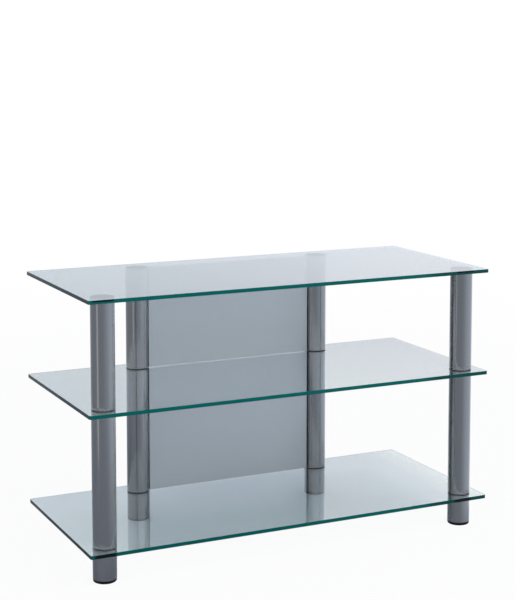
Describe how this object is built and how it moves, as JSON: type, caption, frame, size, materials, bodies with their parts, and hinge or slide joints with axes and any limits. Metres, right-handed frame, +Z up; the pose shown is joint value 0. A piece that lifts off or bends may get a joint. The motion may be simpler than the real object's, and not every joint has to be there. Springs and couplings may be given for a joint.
{
  "type": "tv rack",
  "caption": "Open television rack with clear glass shelves on round metal posts, sheet panels between the rear posts, and levelling feet.",
  "frame": {"origin": "on the floor, under the middle of the shelves; the shelves' outline is centred on it and the pads rest on it", "axes": "+X along the width, to the right for someone facing the front; -Y is the front edge, where the outer posts stand; +Z up"},
  "size_m": [0.95, 0.42, 0.593],
  "materials": {
    "clear_glass": "clear toughened float glass with ground and polished green edges",
    "satin_aluminium": "satin silver-grey",
    "black_plastic": "moulded, semi-matt black",
    "zinc_steel": "bright zinc plated",
    "silver_sheet": "satin silver-grey paint on folded sheet"
  },
  "bodies": {
    "rack": {"top_shelf_glass": "clear_glass", "middle_shelf_glass": "clear_glass", "bottom_shelf_glass": "clear_glass", "bonded_disc_front_left": "satin_aluminium", "bonded_disc_front_right": "satin_aluminium", "bonded_disc_rear_left": "satin_aluminium", "bonded_disc_rear_right": "satin_aluminium", "upper_tube_front_left": "satin_aluminium", "upper_tube_front_right": "satin_aluminium", "upper_tube_rear_left": "satin_aluminium", "upper_tube_rear_right": "satin_aluminium", "lower_tube_front_left": "satin_aluminium", "lower_tube_front_right": "satin_aluminium", "lower_tube_rear_left": "satin_aluminium", "lower_tube_rear_right": "satin_aluminium", "foot_tube_front_left": "satin_aluminium", "foot_tube_front_right": "satin_aluminium", "foot_tube_rear_left": "satin_aluminium", "foot_tube_rear_right": "satin_aluminium", "upper_top_plug_front_left": "black_plastic", "upper_top_plug_front_right": "black_plastic", "upper_top_plug_rear_left": "black_plastic", "upper_top_plug_rear_right": "black_plastic", "upper_bottom_plug_front_left": "black_plastic", "upper_bottom_plug_front_right": "black_plastic", "upper_bottom_plug_rear_left": "black_plastic", "upper_bottom_plug_rear_right": "black_plastic", "lower_top_plug_front_left": "black_plastic", "lower_top_plug_front_right": "black_plastic", "lower_top_plug_rear_left": "black_plastic", "lower_top_plug_rear_right": "black_plastic", "lower_bottom_plug_front_left": "black_plastic", "lower_bottom_plug_front_right": "black_plastic", "lower_bottom_plug_rear_left": "black_plastic", "lower_bottom_plug_rear_right": "black_plastic", "foot_top_plug_front_left": "black_plastic", "foot_top_plug_front_right": "black_plastic", "foot_top_plug_rear_left": "black_plastic", "foot_top_plug_rear_right": "black_plastic", "foot_insert_front_left": "black_plastic", "foot_insert_front_right": "black_plastic", "foot_insert_rear_left": "black_plastic", "foot_insert_rear_right": "black_plastic", "upper_back_panel": "silver_sheet", "lower_back_panel": "silver_sheet", "upper_panel_screw_left_1": "zinc_steel", "upper_panel_screw_right_1": "zinc_steel", "lower_panel_screw_left_1": "zinc_steel", "lower_panel_screw_right_1": "zinc_steel", "lower_panel_screw_left_2": "zinc_steel", "lower_panel_screw_right_2": "zinc_steel"},
    "pad_front_left": {"foot_pad_front_left": "black_plastic"},
    "spindle_front_left": {"foot_spindle_front_left": "zinc_steel"},
    "pad_front_right": {"foot_pad_front_right": "black_plastic"},
    "spindle_front_right": {"foot_spindle_front_right": "zinc_steel"},
    "pad_rear_left": {"foot_pad_rear_left": "black_plastic"},
    "spindle_rear_left": {"foot_spindle_rear_left": "zinc_steel"},
    "pad_rear_right": {"foot_pad_rear_right": "black_plastic"},
    "spindle_rear_right": {"foot_spindle_rear_right": "zinc_steel"}
  },
  "joints": [
    {"name": "foot_height_front_left", "type": "slide", "parent": "rack", "child": "pad_front_left", "axis": [0, 0, -1], "range_m": [0, 0.01]},
    {"name": "foot_turn_front_left", "type": "hinge", "parent": "pad_front_left", "child": "spindle_front_left", "pos_m": [-0.43, -0.165, 0], "axis": [0, 0, -1], "range_deg": [0, 2400]},
    {"name": "foot_height_front_right", "type": "slide", "parent": "rack", "child": "pad_front_right", "axis": [0, 0, -1], "range_m": [0, 0.01]},
    {"name": "foot_turn_front_right", "type": "hinge", "parent": "pad_front_right", "child": "spindle_front_right", "pos_m": [0.43, -0.165, 0], "axis": [0, 0, -1], "range_deg": [0, 2400]},
    {"name": "foot_height_rear_left", "type": "slide", "parent": "rack", "child": "pad_rear_left", "axis": [0, 0, -1], "range_m": [0, 0.01]},
    {"name": "foot_turn_rear_left", "type": "hinge", "parent": "pad_rear_left", "child": "spindle_rear_left", "pos_m": [-0.23, 0.165, 0], "axis": [0, 0, -1], "range_deg": [0, 2400]},
    {"name": "foot_height_rear_right", "type": "slide", "parent": "rack", "child": "pad_rear_right", "axis": [0, 0, -1], "range_m": [0, 0.01]},
    {"name": "foot_turn_rear_right", "type": "hinge", "parent": "pad_rear_right", "child": "spindle_rear_right", "pos_m": [0.23, 0.165, 0], "axis": [0, 0, -1], "range_deg": [0, 2400]}
  ],
  "couplings": [
    {"joint": "foot_turn_front_left", "follows": "foot_height_front_left", "rad_per_m": 4188.8},
    {"joint": "foot_turn_front_right", "follows": "foot_height_front_right", "rad_per_m": 4188.8},
    {"joint": "foot_turn_rear_left", "follows": "foot_height_rear_left", "rad_per_m": 4188.8},
    {"joint": "foot_turn_rear_right", "follows": "foot_height_rear_right", "rad_per_m": 4188.8}
  ]
}
